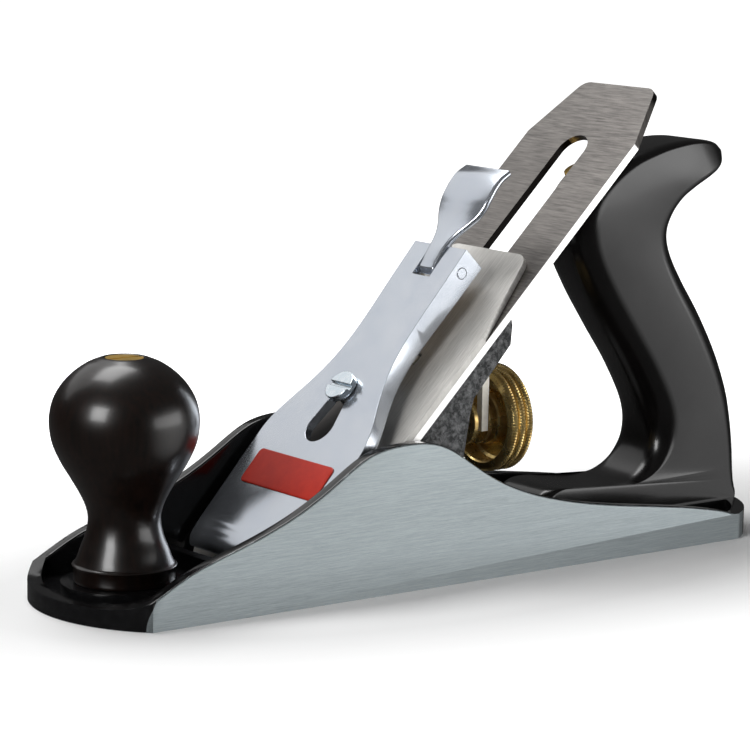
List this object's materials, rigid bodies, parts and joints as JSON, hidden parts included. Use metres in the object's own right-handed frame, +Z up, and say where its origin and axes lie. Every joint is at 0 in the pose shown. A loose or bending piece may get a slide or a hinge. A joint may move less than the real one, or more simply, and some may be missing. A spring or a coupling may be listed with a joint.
{
  "type": "hand plane",
  "caption": "Bench smoothing plane: cast body with ground cheeks, front knob, rear handle, adjustable frog, cutter with cap iron and a cam-locked lever cap.",
  "frame": {"origin": "centre of the sole's box, on the ground face of the sole", "axes": "+X from toe to heel, +Y to the right of whoever pushes the plane, +Z up out of the sole"},
  "size_m": [0.248, 0.064, 0.14],
  "materials": {
    "cast_black": "gloss japanned black with ground faces",
    "handle_black": "gloss black moulded",
    "knob_brown": "gloss very dark brown",
    "brass": "polished brass",
    "steel": "ground steel",
    "zinc": "bright zinc plate",
    "chrome": "polished chrome plate",
    "frog_grey": "dark grey cast",
    "enamel_red": "red enamel"
  },
  "bodies": {
    "casting": {"plane_body": "cast_black", "front_knob": "knob_brown", "knob_bolt": "steel", "knob_nut": "brass", "rear_handle": "handle_black", "handle_bolt": "steel", "handle_nut": "brass", "frog_screw_1": "zinc", "frog_screw_2": "zinc", "frog_washer_1": "zinc", "frog_washer_2": "zinc"},
    "frog": {"frog": "frog_grey", "depth_stud": "steel", "yoke_pin": "steel", "lateral_lever_pivot": "steel", "frog_clip": "steel", "frog_clip_screw": "zinc"},
    "frog_adjuster": {"frog_adjusting_screw": "zinc"},
    "depth_wheel": {"depth_wheel": "brass"},
    "depth_collar": {"depth_collar": "brass"},
    "depth_yoke": {"depth_yoke": "steel"},
    "carriage": {"cap_iron_screw": "zinc"},
    "cutter": {"cutter_iron": "steel", "cap_iron": "steel"},
    "lateral_lever": {"lateral_lever": "steel", "roller_rivet": "steel"},
    "lateral_roller": {"lateral_roller": "steel"},
    "lever_cap": {"lever_cap": "chrome", "lever_cap_badge": "enamel_red", "cam_lever_pin": "chrome", "lever_cap_spring": "steel", "spring_rivet": "steel"},
    "cam_lever": {"cam_lever": "chrome"},
    "lever_cap_screw": {"lever_cap_screw": "zinc"}
  },
  "joints": [
    {"name": "frog_slide", "type": "slide", "parent": "casting", "child": "frog", "axis": [1, 0, 0], "range_m": [-0.00098, 0.00058]},
    {"name": "frog_adjuster_turn", "type": "hinge", "parent": "frog", "child": "frog_adjuster", "pos_m": [0.012, 0, 0.0105], "axis": [1, 0, 0], "range_deg": [-280, 165]},
    {"name": "collar_travel", "type": "slide", "parent": "frog", "child": "depth_collar", "axis": [1, 0, 0], "range_m": [-0.0016, 0.00132]},
    {"name": "wheel_turn", "type": "hinge", "parent": "depth_collar", "child": "depth_wheel", "pos_m": [0.0315, 0, 0.041], "axis": [1, 0, 0], "range_deg": [-446, 538]},
    {"name": "yoke_pivot", "type": "hinge", "parent": "frog", "child": "depth_yoke", "pos_m": [0.00985, 0, 0.0543], "axis": [0, 1, 0], "range_deg": [-5.8, 7]},
    {"name": "iron_depth", "type": "slide", "parent": "frog", "child": "carriage", "axis": [0.7071, 0, 0.7071], "range_m": [-0.0012, 0.00145]},
    {"name": "lateral_lever_swing", "type": "hinge", "parent": "frog", "child": "lateral_lever", "pos_m": [0.01501, 0, 0.07036], "axis": [-0.7071, 0, 0.7071], "range_deg": [-5, 5]},
    {"name": "iron_skew", "type": "hinge", "parent": "carriage", "child": "cutter", "pos_m": [-0.00656, 0, 0.05374], "axis": [-0.7071, 0, 0.7071], "range_deg": [-1.2, 1.2]},
    {"name": "roller_spin", "type": "hinge", "parent": "lateral_lever", "child": "lateral_roller", "pos_m": [0.00999, 0, 0.06831], "axis": [-0.7071, 0, 0.7071], "continuous": true},
    {"name": "lever_cap_slide", "type": "slide", "parent": "frog", "child": "lever_cap", "axis": [0.7071, 0, 0.7071], "range_m": [0, 0.0128]},
    {"name": "cam_lever_flip", "type": "hinge", "parent": "lever_cap", "child": "cam_lever", "pos_m": [0.00949, 0, 0.08789], "axis": [0, -1, 0], "range_deg": [0, 95]},
    {"name": "lever_cap_screw_turn", "type": "hinge", "parent": "frog", "child": "lever_cap_screw", "pos_m": [-0.01766, 0, 0.0483], "axis": [-0.7071, 0, 0.7071], "range_deg": [-180, 180]}
  ],
  "couplings": [
    {"joint": "frog_adjuster_turn", "follows": "frog_slide", "rad_per_m": 4947.4},
    {"joint": "collar_travel", "follows": "iron_depth", "ratio": -1.0902},
    {"joint": "yoke_pivot", "follows": "iron_depth", "rad_per_m": 81.967},
    {"joint": "wheel_turn", "follows": "iron_depth", "rad_per_m": 6462},
    {"joint": "iron_skew", "follows": "lateral_lever_swing", "ratio": -0.22727}
  ]
}
